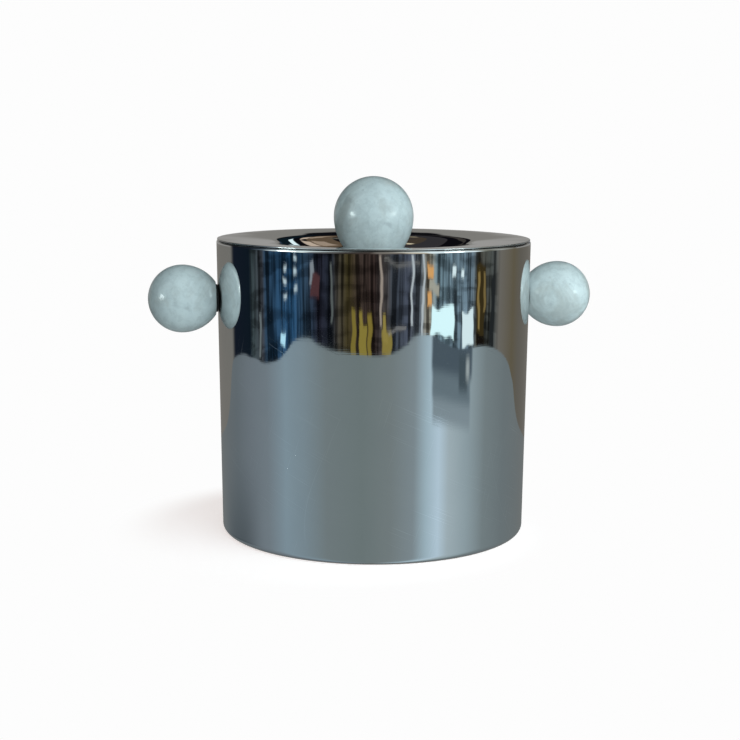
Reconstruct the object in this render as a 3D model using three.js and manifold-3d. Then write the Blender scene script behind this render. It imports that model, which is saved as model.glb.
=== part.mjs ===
// Double-walled steel ice bucket with a loose, dished lid and three stone balls: two as
// side handles and one as the lid's knob.
// Millimetres, +Z up. The origin is the centre of the base, and the handles lie along X.

import * as THREE from "three";
import { mergeVertices } from "three/addons/utils/BufferGeometryUtils.js";
import Module from "manifold-3d";

// ---- Driving dimensions -------------------------------------------------------------

const CLEARANCE = 0.3; // between pieces that touch on the real object

// Body
const BODY_HEIGHT = 159.6;
const RIM_RADIUS = 85.2;
const BASE_RADIUS = 83.2;
const SHEET = 0.8; // thickness of the body's pressed steel
const SHOULDER_RADIUS = 1.1; // outer rounding at the rim
const BASE_CORNER_RADIUS = 3.5; // outer rounding at the base
const RIM_SEAM_RADIUS = 79; // where the shell's rim land meets the liner's
const STAND_RING_INNER = 72; // inner edge of the flat ring that the bucket stands on

// Inner liner, the well that holds the ice
const WELL_MOUTH_RADIUS = 75.2;
const WELL_FLOOR_RADIUS = 73.5;
const WELL_FLOOR_HEIGHT = 12;
const WELL_CORNER_RADIUS = 8;
const WELL_LIP_RADIUS = 1.5;

// Base plate, a shallow pressed disc inside the stand ring
const BASE_PLATE_RADIUS = 78.5;
const BASE_PLATE_STEP_OUTER = 70;
const BASE_PLATE_STEP_INNER = 66;
const BASE_PLATE_STEP_HEIGHT = 1.3;

// Lid
const LID_RADIUS = 84.9;
const LID_SHEET = 0.6;
const LID_PAN_SHEET = 0.4;
const LID_SEAT_GAP = 0.3; // between the rim and the lip of the lid that rests on it
const LID_LAYER_GAP = 0.4; // from the lip's underside down to the pan's flange
const FLANGE_CURVE_RADIUS = 280; // the flange curves gently down from the lip inwards
const DISH_EDGE_RADIUS = 56; // where the flange rolls over into the dish
const DISH_ROLL_RADIUS = 8;
const DISH_DEPTH = 11.4; // from the lip down to the dish's flat floor
const DISH_SLOPE = THREE.MathUtils.degToRad(42); // steepest slope of the dish
const PAN_RADIUS = 73.3; // the skirt that drops into the well
const PAN_FLANGE_RADIUS = 75; // stays inside the well's mouth
const PAN_DEPTH = 19.6; // from the flange down to the pan's bottom
const PAN_CORNER_RADIUS = 4;
const PAN_FILLET_RADIUS = 0.6;

// Stone balls
const HANDLE_BALL_RADIUS = 18.2;
const HANDLE_NECK_CURVE = 22; // the inner half is fuller: it narrows along a wider curve
const HANDLE_BALL_DISTANCE = 104; // from the bucket's axis to the ball's centre
const HANDLE_HEIGHT = 128.6;
const HANDLE_FLAT_RADIUS = 9; // the ground spot that seats on the collar
const HANDLE_COLLAR_RADIUS = 7.5;
const KNOB_BALL_RADIUS = 21.7;
const KNOB_NECK_CURVE = 30;
const KNOB_HEIGHT = 172.1;
const KNOB_FLAT_RADIUS = 13;
const KNOB_COLLAR_RADIUS = 7.5;

// Fasteners: an M5 set for each handle and an M6 set for the knob
const HANDLE_SET = {
  shank: 2.5,
  headRadius: 4.4,
  headHeight: 2.8,
  washerRadius: 4.5,
  lockWasher: 1.2,
  insertRadius: 4,
  insertLength: 12,
};
const KNOB_SET = {
  shank: 3,
  headRadius: 5.5,
  headHeight: 3.2,
  washerRadius: 5.4,
  lockWasher: 1.4,
  insertRadius: 5,
  insertLength: 14,
};
const SOCKET_SHARE = 0.5; // size of the hex socket against the screw's head
const KNOB_WASHER_RADIUS = 8;
const KNOB_WASHER_THICKNESS = 1.2;
const SPACER_TUBE_RADIUS = 5;
const BACKING_PLATE_WIDTH = 26;
const BACKING_PLATE_THICKNESS = 1.5;
const BACKING_PLATE_GAP = 0.6; // the plate is upright and the wall leans outwards

// Insulation
const FOAM_GAP = 0.4;
const FOAM_TOP = 153;
const FOAM_WINDOW = BACKING_PLATE_WIDTH + 6;
const LID_FOAM_HOLE = 9;

// Facets
const ROUND_FACETS = 40; // around the body and the lid
const BALL_FACETS = 28;
const BALL_RINGS = 12;
const SMALL_FACETS = 16;
const CORNER_STEPS = 3;

// ---- Derived sizes ------------------------------------------------------------------

const wellFloorUnderside = WELL_FLOOR_HEIGHT - SHEET;
const lidUnderside = BODY_HEIGHT + LID_SEAT_GAP;
const lidTop = lidUnderside + LID_SHEET;
const panFlangeUnderside = lidUnderside - LID_LAYER_GAP - LID_PAN_SHEET;
const dishFloor = lidTop - DISH_DEPTH;
const panBottom = panFlangeUnderside - PAN_DEPTH;
const panFloor = panBottom + LID_PAN_SHEET;

// The lid's upper face is three arcs, each taking over at the slope where the last ends:
// the flange down to its inner slope, the roll down to the dish's slope, then the bowl.
const flangeStart = LID_RADIUS - LID_SHEET / 2;
const flangeSlope = Math.asin((flangeStart - DISH_EDGE_RADIUS) / FLANGE_CURVE_RADIUS);
const flangeDrop = FLANGE_CURVE_RADIUS * (1 - Math.cos(flangeSlope));
const rollRadius = DISH_EDGE_RADIUS + DISH_ROLL_RADIUS * Math.sin(flangeSlope);
const rollHeight = lidTop - flangeDrop - DISH_ROLL_RADIUS * Math.cos(flangeSlope);
const bowlDepth = rollHeight + DISH_ROLL_RADIUS * Math.cos(DISH_SLOPE) - dishFloor;
const bowlRadius = bowlDepth / (1 - Math.cos(DISH_SLOPE));
const dishFloorRadius =
  rollRadius - (DISH_ROLL_RADIUS + bowlRadius) * Math.sin(DISH_SLOPE);

// ---- Geometry helpers ---------------------------------------------------------------

const wasm = await Module();
wasm.setup();

/** A closed geometry as a manifold solid, ready to join or cut. */
function solidOf(geometry) {
  const bare = geometry.clone();
  bare.deleteAttribute("normal");
  bare.deleteAttribute("uv");
  const merged = mergeVertices(bare, 1e-4);
  const corners = merged.index.array;
  const kept = [];
  for (let i = 0; i < corners.length; i += 3) {
    const [a, b, c] = corners.slice(i, i + 3);
    if (a !== b && b !== c && c !== a) {
      kept.push(a, b, c);
    }
  }
  return new wasm.Manifold(
    new wasm.Mesh({
      numProp: 3,
      vertProperties: new Float32Array(merged.attributes.position.array),
      triVerts: new Uint32Array(kept),
    }),
  );
}

/** A manifold solid as a geometry. */
function geometryOf(solid) {
  const { vertProperties, triVerts } = solid.getMesh();
  const geometry = new THREE.BufferGeometry();
  geometry.setAttribute("position", new THREE.BufferAttribute(vertProperties, 3));
  geometry.setIndex(new THREE.BufferAttribute(triVerts, 1));
  geometry.computeVertexNormals();
  return geometry;
}

/** The first geometry with each of the others cut out of it. */
function cut(geometry, ...tools) {
  let solid = solidOf(geometry);
  for (const tool of tools) {
    solid = solid.subtract(solidOf(tool));
  }
  return geometryOf(solid);
}

/** Points [radius, height] along an arc, in degrees, 0 pointing outwards and 90 up. */
function arc(centreRadius, centreHeight, radius, from, to, steps = CORNER_STEPS) {
  const points = [];
  for (let i = 0; i <= steps; i += 1) {
    const angle = THREE.MathUtils.degToRad(from + ((to - from) * i) / steps);
    points.push([
      centreRadius + radius * Math.cos(angle),
      centreHeight + radius * Math.sin(angle),
    ]);
  }
  return points;
}

/** Turns an outline of [radius, height] points about Z, with its faces pointing out. */
function turned(outline, facets) {
  const points = outline.map(([radius, height]) => new THREE.Vector2(radius, height));
  if (THREE.ShapeUtils.area(points) < 0) {
    points.reverse();
  }
  const onAxis = points[0].x === 0 && points.at(-1).x === 0;
  if (!onAxis) {
    points.push(points[0].clone());
  }
  return new THREE.LatheGeometry(points, facets).rotateX(Math.PI / 2);
}

/** A pressed sheet: the outline at inset 0 and the same outline one thickness in. */
function pressedSheet(outline, thickness) {
  return turned([...outline(0), ...outline(thickness).reverse()], ROUND_FACETS);
}

/** A flat ring from z = 0 up. */
function ring(innerRadius, outerRadius, height, facets = SMALL_FACETS) {
  const outline = [
    [innerRadius, 0],
    [outerRadius, 0],
    [outerRadius, height],
    [innerRadius, height],
  ];
  return turned(outline, facets);
}

/** A plain rod from z = 0 up. */
function rod(radius, height, facets = SMALL_FACETS) {
  const outline = [
    [0, 0],
    [radius, 0],
    [radius, height],
    [0, height],
  ];
  return turned(outline, facets);
}

/** Lays a piece that was made along +Z down along +X. */
function alongX(geometry) {
  return geometry.rotateY(Math.PI / 2);
}

// ---- Finishes -----------------------------------------------------------------------

function finish(color, roughness, metalness) {
  return new THREE.MeshStandardMaterial({ color, roughness, metalness });
}

const polishedSteel = () => finish(0xb9bab8, 0.06, 1);
const plainSteel = () => finish(0x9b9c9c, 0.35, 1);
const zincSteel = () => finish(0xa5a8aa, 0.4, 1);
const brass = () => finish(0xb99a55, 0.35, 1);
const marble = () => finish(0xb4c3c4, 0.4, 0);
const blackRubber = () => finish(0x17181a, 0.7, 0);
const foam = () => finish(0xe6e2d6, 0.95, 0);

function piece(name, geometry, material, position = [0, 0, 0]) {
  const mesh = new THREE.Mesh(geometry, material);
  mesh.name = name;
  mesh.position.set(...position);
  return mesh;
}

// ---- Body ---------------------------------------------------------------------------

/** The shell's outline from the stand ring, round the base, up the wall to the rim. */
function shellOutline(inset) {
  const corner = BASE_CORNER_RADIUS;
  const shoulder = SHOULDER_RADIUS;
  return [
    [STAND_RING_INNER, inset],
    ...arc(BASE_RADIUS - corner, corner, corner - inset, -90, 0),
    ...arc(RIM_RADIUS - shoulder, BODY_HEIGHT - shoulder, shoulder - inset, 0, 90),
    [RIM_SEAM_RADIUS, BODY_HEIGHT - inset],
  ];
}

/** The well's inner face at inset 0, from the rim seam down to the floor's centre. */
function wellOutline(inset) {
  const lip = WELL_LIP_RADIUS;
  const corner = WELL_CORNER_RADIUS;
  return [
    [RIM_SEAM_RADIUS - CLEARANCE, BODY_HEIGHT - inset],
    ...arc(WELL_MOUTH_RADIUS + lip, BODY_HEIGHT - lip, lip - inset, 90, 180),
    ...arc(
      WELL_FLOOR_RADIUS - corner,
      WELL_FLOOR_HEIGHT + corner,
      corner + inset,
      0,
      -90,
      CORNER_STEPS + 1,
    ),
    [0, WELL_FLOOR_HEIGHT - inset],
  ];
}

/** Radius of the shell's outer face at a height on its straight wall. */
function wallRadius(height) {
  const low = BASE_CORNER_RADIUS;
  const high = BODY_HEIGHT - SHOULDER_RADIUS;
  return THREE.MathUtils.mapLinear(height, low, high, BASE_RADIUS, RIM_RADIUS);
}

/** Radius of the liner's outer face at a height on its straight wall. */
function linerRadius(height) {
  const low = WELL_FLOOR_HEIGHT + WELL_CORNER_RADIUS;
  const high = BODY_HEIGHT - WELL_LIP_RADIUS;
  const inner = THREE.MathUtils.mapLinear(
    height,
    low,
    high,
    WELL_FLOOR_RADIUS,
    WELL_MOUTH_RADIUS,
  );
  return inner + SHEET;
}

function outerShell() {
  const holeLength = 2 * (RIM_RADIUS + 1);
  const screwHole = alongX(rod(HANDLE_SET.shank + CLEARANCE, holeLength));
  screwHole.translate(-holeLength / 2, 0, HANDLE_HEIGHT);
  return cut(pressedSheet(shellOutline, SHEET), screwHole);
}

function innerLiner() {
  const outline = [...wellOutline(SHEET).reverse(), ...wellOutline(0)];
  return turned(outline, ROUND_FACETS);
}

function basePlate() {
  const flange = SHEET + CLEARANCE;
  const centre = flange + BASE_PLATE_STEP_HEIGHT;
  const face = (lift) => [
    [0, centre + lift],
    [BASE_PLATE_STEP_INNER, centre + lift],
    [BASE_PLATE_STEP_OUTER, flange + lift],
    [BASE_PLATE_RADIUS, flange + lift],
  ];
  return turned([...face(0), ...face(SHEET).reverse()], ROUND_FACETS);
}

function insulationSleeve() {
  const bottom = wellFloorUnderside + WELL_CORNER_RADIUS;
  const sleeve = turned(
    [
      [linerRadius(bottom) + FOAM_GAP, bottom],
      [wallRadius(bottom) - SHEET - FOAM_GAP, bottom],
      [wallRadius(FOAM_TOP) - SHEET - FOAM_GAP, FOAM_TOP],
      [linerRadius(FOAM_TOP) + FOAM_GAP, FOAM_TOP],
    ],
    ROUND_FACETS,
  );
  const windows = new THREE.BoxGeometry(4 * RIM_RADIUS, FOAM_WINDOW, FOAM_WINDOW);
  windows.translate(0, 0, HANDLE_HEIGHT);
  return cut(sleeve, windows);
}

function insulationDisc() {
  const bottom = 2 * SHEET + CLEARANCE + BASE_PLATE_STEP_HEIGHT + FOAM_GAP;
  const radius = WELL_FLOOR_RADIUS - WELL_CORNER_RADIUS;
  return rod(radius, wellFloorUnderside - FOAM_GAP - bottom, ROUND_FACETS).translate(
    0,
    0,
    bottom,
  );
}

function bucketBody() {
  const body = new THREE.Group();
  body.add(
    piece("outer_shell", outerShell(), polishedSteel()),
    piece("base_plate", basePlate(), plainSteel()),
    piece("inner_liner", innerLiner(), plainSteel()),
    piece("insulation_sleeve", insulationSleeve(), foam()),
    piece("insulation_disc", insulationDisc(), foam()),
  );
  return body;
}

// ---- Balls and their fasteners ------------------------------------------------------

/** Height of a ball's ground flat below its centre, where its lower half has its own curve. */
function flatDrop(ballRadius, flatRadius, curve) {
  return Math.sqrt(curve ** 2 - (flatRadius + curve - ballRadius) ** 2);
}

/** A ball centred on the origin, with a flat below and a blind hole for its insert. */
function stoneBall(radius, flatRadius, set, curve) {
  const flat = -flatDrop(radius, flatRadius, curve);
  const hole = set.insertRadius + CLEARANCE;
  const holeEnd = flat + set.insertLength + 3 * CLEARANCE;
  const flatAngle = THREE.MathUtils.radToDeg(Math.asin(flat / curve));
  const lower = arc(radius - curve, 0, curve, flatAngle, 0, BALL_RINGS / 2);
  const upper = arc(0, 0, radius, 0, 90, BALL_RINGS / 2).slice(1, -1);
  const skin = [...lower, ...upper, [0, radius]];
  return turned([[0, holeEnd], [hole, holeEnd], [hole, flat], ...skin], BALL_FACETS);
}

/** A brass insert from z = 0 up, with a groove between its two gripping bands. */
function threadedInsert(set) {
  const { insertRadius, insertLength } = set;
  const bore = set.shank + CLEARANCE;
  const groove = insertRadius - 0.5;
  const band = insertLength / 3;
  const outline = [
    [bore, 0],
    [insertRadius, 0],
    [insertRadius, band],
    [groove, band],
    [groove, insertLength - band],
    [insertRadius, insertLength - band],
    [insertRadius, insertLength],
    [bore, insertLength],
  ];
  return turned(outline, SMALL_FACETS);
}

/** A pan-head screw with a hex socket: its head is below z = 0 and its shank above. */
function panHeadScrew(set, shankLength) {
  const { shank, headRadius, headHeight } = set;
  const crown = headHeight / 2;
  const outline = [
    [0, -headHeight],
    ...arc(headRadius - crown, -headHeight + crown, crown, -90, 0, 2),
    [headRadius, 0],
    [shank, 0],
    [shank, shankLength - shank / 3],
    [shank * 0.7, shankLength],
    [0, shankLength],
  ];
  const socket = rod(headRadius * SOCKET_SHARE, headHeight, 6);
  socket.translate(0, 0, -headHeight * 1.4);
  return cut(turned(outline, SMALL_FACETS), socket);
}

/** A split ring from z = 0 up. */
function lockWasher(set) {
  const inner = set.shank + CLEARANCE;
  const halfGap = THREE.MathUtils.degToRad(8);
  const outline = new THREE.Shape();
  outline.absarc(0, 0, set.washerRadius, halfGap, 2 * Math.PI - halfGap, false);
  outline.absarc(0, 0, inner, 2 * Math.PI - halfGap, halfGap, true);
  outline.closePath();
  return new THREE.ExtrudeGeometry(outline, {
    depth: set.lockWasher,
    bevelEnabled: false,
    curveSegments: SMALL_FACETS,
  });
}

/** A handle's collar, hollowed at its inner end to sit on the round wall. */
function handleCollar(wall, ballFlat) {
  const start = wall - 1;
  const collar = ring(
    HANDLE_SET.shank + CLEARANCE,
    HANDLE_COLLAR_RADIUS,
    ballFlat - CLEARANCE - start,
    SMALL_FACETS + 8,
  );
  const wallFace = rod(wall + CLEARANCE, 4 * HANDLE_COLLAR_RADIUS, 2 * ROUND_FACETS);
  wallFace.translate(0, 0, -2 * HANDLE_COLLAR_RADIUS);
  return cut(alongX(collar).translate(start, 0, 0), wallFace);
}

/** A curved plate that spreads the handle screw's pull over the wall's inner face. */
function backingPlate(outerRadius) {
  const halfAngle = BACKING_PLATE_WIDTH / 2 / outerRadius;
  const innerRadius = outerRadius - BACKING_PLATE_THICKNESS;
  const outline = new THREE.Shape();
  outline.absarc(0, 0, outerRadius, -halfAngle, halfAngle, false);
  outline.absarc(0, 0, innerRadius, halfAngle, -halfAngle, true);
  outline.closePath();
  const plate = new THREE.ExtrudeGeometry(outline, {
    depth: BACKING_PLATE_WIDTH,
    bevelEnabled: false,
    curveSegments: 6,
  });
  plate.translate(0, 0, -BACKING_PLATE_WIDTH / 2);
  const hole = alongX(rod(HANDLE_SET.shank + CLEARANCE, 2 * RIM_RADIUS));
  return cut(plate, hole);
}

/** One handle, from its ball in to its screw's head, standing out along +X. */
function handle(side) {
  const wall = wallRadius(HANDLE_HEIGHT);
  const ballSize = [HANDLE_BALL_RADIUS, HANDLE_FLAT_RADIUS];
  const ballFlat = HANDLE_BALL_DISTANCE - flatDrop(...ballSize, HANDLE_NECK_CURVE);
  const plateOuter = wall - SHEET - BACKING_PLATE_GAP;
  const washerStart =
    plateOuter - BACKING_PLATE_THICKNESS - 2 * CLEARANCE - HANDLE_SET.lockWasher;
  const headFace = washerStart - CLEARANCE;
  const insertStart = ballFlat + CLEARANCE;
  const screwEnd = insertStart + HANDLE_SET.insertLength - 1;
  const at = (distance) => [distance, 0, HANDLE_HEIGHT];
  const ball = alongX(stoneBall(...ballSize, HANDLE_SET, HANDLE_NECK_CURVE));
  const screw = alongX(panHeadScrew(HANDLE_SET, screwEnd - headFace));
  const parts = new THREE.Group();
  parts.add(
    piece(`${side}_handle_ball`, ball, marble(), at(HANDLE_BALL_DISTANCE)),
    piece(`${side}_handle_collar`, handleCollar(wall, ballFlat), blackRubber(), at(0)),
    piece(
      `${side}_handle_insert`,
      alongX(threadedInsert(HANDLE_SET)),
      brass(),
      at(insertStart),
    ),
    piece(`${side}_handle_backing_plate`, backingPlate(plateOuter), zincSteel(), at(0)),
    piece(
      `${side}_handle_lock_washer`,
      alongX(lockWasher(HANDLE_SET)),
      zincSteel(),
      at(washerStart),
    ),
    piece(`${side}_handle_screw`, screw, zincSteel(), at(headFace)),
  );
  return parts;
}

// ---- Lid ----------------------------------------------------------------------------

/** The lid's upper face: dish floor, bowl, roll and curved flange, out to a radius. */
function lidFace(inset, innerRadius, outerRadius = flangeStart) {
  const slope = THREE.MathUtils.radToDeg(DISH_SLOPE);
  const inner = THREE.MathUtils.radToDeg(flangeSlope);
  const outer = THREE.MathUtils.radToDeg(
    Math.asin((flangeStart - outerRadius) / FLANGE_CURVE_RADIUS),
  );
  const bowl = arc(
    dishFloorRadius,
    dishFloor + bowlRadius,
    bowlRadius + inset,
    -90,
    -90 + slope,
    CORNER_STEPS + 2,
  );
  const roll = arc(
    rollRadius,
    rollHeight,
    DISH_ROLL_RADIUS - inset,
    90 + slope,
    90 + inner,
    CORNER_STEPS + 1,
  );
  const flange = arc(
    flangeStart,
    lidTop - FLANGE_CURVE_RADIUS,
    FLANGE_CURVE_RADIUS - inset,
    90 + inner,
    90 + outer,
  );
  return [[innerRadius, dishFloor - inset], ...bowl, ...roll.slice(1), ...flange.slice(1)];
}

function lidTopPlate() {
  const hole = KNOB_SET.shank + CLEARANCE;
  const half = LID_SHEET / 2;
  const lip = arc(flangeStart, lidTop - half, half, 90, -90, 4);
  const outline = [
    ...lidFace(0, hole),
    ...lip.slice(1, -1),
    ...lidFace(LID_SHEET, hole).reverse(),
  ];
  return turned(outline, ROUND_FACETS);
}

/** The pan's outer face: floor, corner, skirt, fillet and the flange under the lid's top. */
function panOutline(inset) {
  const corner = PAN_CORNER_RADIUS;
  const fillet = PAN_FILLET_RADIUS;
  return [
    [KNOB_SET.shank + CLEARANCE, panBottom + inset],
    ...arc(PAN_RADIUS - corner, panBottom + corner, corner - inset, -90, 0),
    ...arc(PAN_RADIUS + fillet, panFlangeUnderside - fillet, fillet + inset, 180, 90, 2),
    [PAN_FLANGE_RADIUS, panFlangeUnderside + inset],
  ];
}

function lidInsulation() {
  const outer = PAN_RADIUS - LID_PAN_SHEET - FOAM_GAP;
  const bottom = panFloor + FOAM_GAP;
  const outline = [
    ...lidFace(LID_SHEET + FOAM_GAP, LID_FOAM_HOLE, outer),
    [outer, bottom + PAN_CORNER_RADIUS],
    [outer - PAN_CORNER_RADIUS, bottom],
    [LID_FOAM_HOLE, bottom],
  ];
  return turned(outline, ROUND_FACETS);
}

function lid() {
  const ballSize = [KNOB_BALL_RADIUS, KNOB_FLAT_RADIUS];
  const ballFlat = KNOB_HEIGHT - flatDrop(...ballSize, KNOB_NECK_CURVE);
  const bore = KNOB_SET.shank + CLEARANCE;
  const collarStart = dishFloor + CLEARANCE;
  const tubeStart = panFloor + CLEARANCE;
  const tubeEnd = dishFloor - LID_SHEET - CLEARANCE;
  const washerStart = panBottom - CLEARANCE - KNOB_WASHER_THICKNESS;
  const lockWasherStart = washerStart - CLEARANCE - KNOB_SET.lockWasher;
  const headFace = lockWasherStart - CLEARANCE;
  const insertStart = ballFlat + CLEARANCE;
  const screwEnd = insertStart + KNOB_SET.insertLength - 1;
  const at = (height) => [0, 0, height];
  const ball = stoneBall(...ballSize, KNOB_SET, KNOB_NECK_CURVE);
  const collar = ring(
    bore,
    KNOB_COLLAR_RADIUS,
    ballFlat - CLEARANCE - collarStart,
    SMALL_FACETS + 8,
  );
  const tube = ring(bore, SPACER_TUBE_RADIUS, tubeEnd - tubeStart);
  const washer = ring(bore, KNOB_WASHER_RADIUS, KNOB_WASHER_THICKNESS, SMALL_FACETS + 8);
  const screw = panHeadScrew(KNOB_SET, screwEnd - headFace);
  const parts = new THREE.Group();
  parts.add(
    piece("lid_top", lidTopPlate(), polishedSteel()),
    piece("lid_pan", pressedSheet(panOutline, LID_PAN_SHEET), plainSteel()),
    piece("lid_insulation", lidInsulation(), foam()),
    piece("lid_spacer_tube", tube, zincSteel(), at(tubeStart)),
    piece("knob_ball", ball, marble(), at(KNOB_HEIGHT)),
    piece("knob_collar", collar, blackRubber(), at(collarStart)),
    piece("knob_insert", threadedInsert(KNOB_SET), brass(), at(insertStart)),
    piece("knob_washer", washer, zincSteel(), at(washerStart)),
    piece("knob_lock_washer", lockWasher(KNOB_SET), zincSteel(), at(lockWasherStart)),
    piece("knob_screw", screw, zincSteel(), at(headFace)),
  );
  return parts;
}

// ---- Assembly -----------------------------------------------------------------------

const iceBucket = new THREE.Group();
const rightHandle = handle("right");
const leftHandle = handle("left");
leftHandle.rotation.z = Math.PI;
iceBucket.add(bucketBody(), rightHandle, leftHandle, lid());

export default iceBucket;
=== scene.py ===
"""Ice bucket with three stone balls, dressed in fine meshes and procedural materials.

Metres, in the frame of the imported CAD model. Sizes below are in millimetres, as in part.mjs,
and the outlines are turned about the bucket's axis or about a handle's.
"""

import math

import bmesh
import bpy
from mathutils import Matrix, Vector


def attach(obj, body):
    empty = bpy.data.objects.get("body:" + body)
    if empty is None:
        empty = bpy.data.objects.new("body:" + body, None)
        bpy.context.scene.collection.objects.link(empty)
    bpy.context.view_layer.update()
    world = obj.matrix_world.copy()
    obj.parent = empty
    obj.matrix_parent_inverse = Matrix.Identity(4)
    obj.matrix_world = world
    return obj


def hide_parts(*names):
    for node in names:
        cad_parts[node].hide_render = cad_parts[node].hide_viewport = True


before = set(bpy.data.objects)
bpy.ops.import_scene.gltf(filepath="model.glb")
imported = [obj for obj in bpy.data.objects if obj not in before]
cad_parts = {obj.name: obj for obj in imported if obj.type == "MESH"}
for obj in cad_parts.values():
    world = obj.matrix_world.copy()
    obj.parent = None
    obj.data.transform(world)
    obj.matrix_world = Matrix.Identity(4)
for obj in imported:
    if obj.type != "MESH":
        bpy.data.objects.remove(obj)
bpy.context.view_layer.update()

MM = 0.001

# ---- Sizes, in millimetres ----

CLEARANCE = 0.3

BODY_HEIGHT = 159.6
RIM_RADIUS = 85.2
BASE_RADIUS = 83.2
SHEET = 0.8
SHOULDER_RADIUS = 1.1
BASE_CORNER_RADIUS = 3.5
RIM_SEAM_RADIUS = 79
STAND_RING_INNER = 72

WELL_MOUTH_RADIUS = 75.2
WELL_FLOOR_RADIUS = 73.5
WELL_FLOOR_HEIGHT = 12
WELL_CORNER_RADIUS = 8
WELL_LIP_RADIUS = 1.5

BASE_PLATE_RADIUS = 78.5
BASE_PLATE_STEP_OUTER = 70
BASE_PLATE_STEP_INNER = 66
BASE_PLATE_STEP_HEIGHT = 1.3

LID_RADIUS = 84.9
LID_SHEET = 0.6
LID_PAN_SHEET = 0.4
LID_SEAT_GAP = 0.3
LID_LAYER_GAP = 0.4
FLANGE_CURVE_RADIUS = 280
DISH_EDGE_RADIUS = 56
DISH_ROLL_RADIUS = 8
DISH_DEPTH = 11.4
DISH_SLOPE = math.radians(42)
PAN_RADIUS = 73.3
PAN_FLANGE_RADIUS = 75
PAN_DEPTH = 19.6
PAN_CORNER_RADIUS = 4
PAN_FILLET_RADIUS = 0.6

HANDLE_BALL_RADIUS = 18.2
HANDLE_NECK_CURVE = 22
HANDLE_BALL_DISTANCE = 104
HANDLE_HEIGHT = 128.6
HANDLE_FLAT_RADIUS = 9
HANDLE_COLLAR_RADIUS = 7.5
HANDLE_SHANK = 2.5
HANDLE_INSERT_RADIUS = 4
HANDLE_INSERT_LENGTH = 12

KNOB_BALL_RADIUS = 21.7
KNOB_NECK_CURVE = 30
KNOB_HEIGHT = 172.1
KNOB_FLAT_RADIUS = 13
KNOB_COLLAR_RADIUS = 7.5
KNOB_SHANK = 3
KNOB_HEAD_RADIUS = 5.5
KNOB_HEAD_HEIGHT = 3.2
KNOB_INSERT_RADIUS = 5
KNOB_INSERT_LENGTH = 14
KNOB_WASHER_RADIUS = 8
KNOB_WASHER_THICKNESS = 1.2
KNOB_LOCK_WASHER_RADIUS = 5.4
KNOB_LOCK_WASHER_THICKNESS = 1.4
KNOB_LOCK_HALF_GAP = math.radians(8)
KNOB_SOCKET_RADIUS = 2.75
KNOB_SOCKET_DEPTH = 1.9
KNOB_SCREW_TIP_RADIUS = 2.1
KNOB_SCREW_TIP_LENGTH = 1
KNOB_SCREW_MARGIN = 1  # between the screw's end and the insert's

INSERT_HOLE_MARGIN = 3 * CLEARANCE  # how far a ball's hole goes past its insert

# How fine the meshes are
ROUND_SEGMENTS = 256
BALL_SEGMENTS = 128
SMALL_SEGMENTS = 64
SOCKET_SIDES = 6
ARC_STEPS = 12
FILLET_STEPS = 8
FINE_STEPS = 16
BOWL_STEPS = 24
BALL_STEPS = 32

SHARP_ANGLE = math.radians(40)
EDGE_BREAK = 0.2  # rounding of every otherwise sharp edge
EDGE_STEPS = 4
EDGE_SHARE = 0.45  # of a short side, the most that a rounding may take
ROW_HOLD = 0.35  # from the end of a long run to the row that keeps it flat
ROW_SPACING = 6
NEGLIGIBLE = 1e-6

LID_UNDERSIDE = BODY_HEIGHT + LID_SEAT_GAP
LID_TOP = LID_UNDERSIDE + LID_SHEET
PAN_FLANGE_UNDERSIDE = LID_UNDERSIDE - LID_LAYER_GAP - LID_PAN_SHEET
DISH_FLOOR = LID_TOP - DISH_DEPTH
PAN_BOTTOM = PAN_FLANGE_UNDERSIDE - PAN_DEPTH

KNOB_NECK_REACH = KNOB_FLAT_RADIUS + KNOB_NECK_CURVE - KNOB_BALL_RADIUS
KNOB_FLAT = KNOB_HEIGHT - math.sqrt(KNOB_NECK_CURVE**2 - KNOB_NECK_REACH**2)
KNOB_WASHER_END = PAN_BOTTOM - CLEARANCE
KNOB_WASHER_START = KNOB_WASHER_END - KNOB_WASHER_THICKNESS
KNOB_LOCK_END = KNOB_WASHER_START - CLEARANCE
KNOB_LOCK_START = KNOB_LOCK_END - KNOB_LOCK_WASHER_THICKNESS
KNOB_HEAD_FACE = KNOB_LOCK_START - CLEARANCE
KNOB_SCREW_END = KNOB_FLAT + CLEARANCE + KNOB_INSERT_LENGTH - KNOB_SCREW_MARGIN

# The lid's upper face: a gently curved flange, a roll, a bowl and a flat floor.
FLANGE_START = LID_RADIUS - LID_SHEET / 2
FLANGE_SLOPE = math.asin((FLANGE_START - DISH_EDGE_RADIUS) / FLANGE_CURVE_RADIUS)
FLANGE_DROP = FLANGE_CURVE_RADIUS * (1 - math.cos(FLANGE_SLOPE))
ROLL_RADIUS = DISH_EDGE_RADIUS + DISH_ROLL_RADIUS * math.sin(FLANGE_SLOPE)
ROLL_HEIGHT = LID_TOP - FLANGE_DROP - DISH_ROLL_RADIUS * math.cos(FLANGE_SLOPE)
BOWL_DEPTH = ROLL_HEIGHT + DISH_ROLL_RADIUS * math.cos(DISH_SLOPE) - DISH_FLOOR
BOWL_RADIUS = BOWL_DEPTH / (1 - math.cos(DISH_SLOPE))
DISH_FLOOR_RADIUS = ROLL_RADIUS - (DISH_ROLL_RADIUS + BOWL_RADIUS) * math.sin(DISH_SLOPE)

# ---- The camera's place, in metres and radians ----

CAMERA_PLACE = (-0.1338, -0.8080, 0.2166)
CAMERA_HEADING = 0.1621  # from +Y towards +X
CAMERA_TILT = -0.1563
CAMERA_ROLL = 0.0044
CAMERA_LENS = 73.06  # millimetres, as is the sensor's width
CAMERA_SENSOR = 36


# ---- Outlines ----


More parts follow.
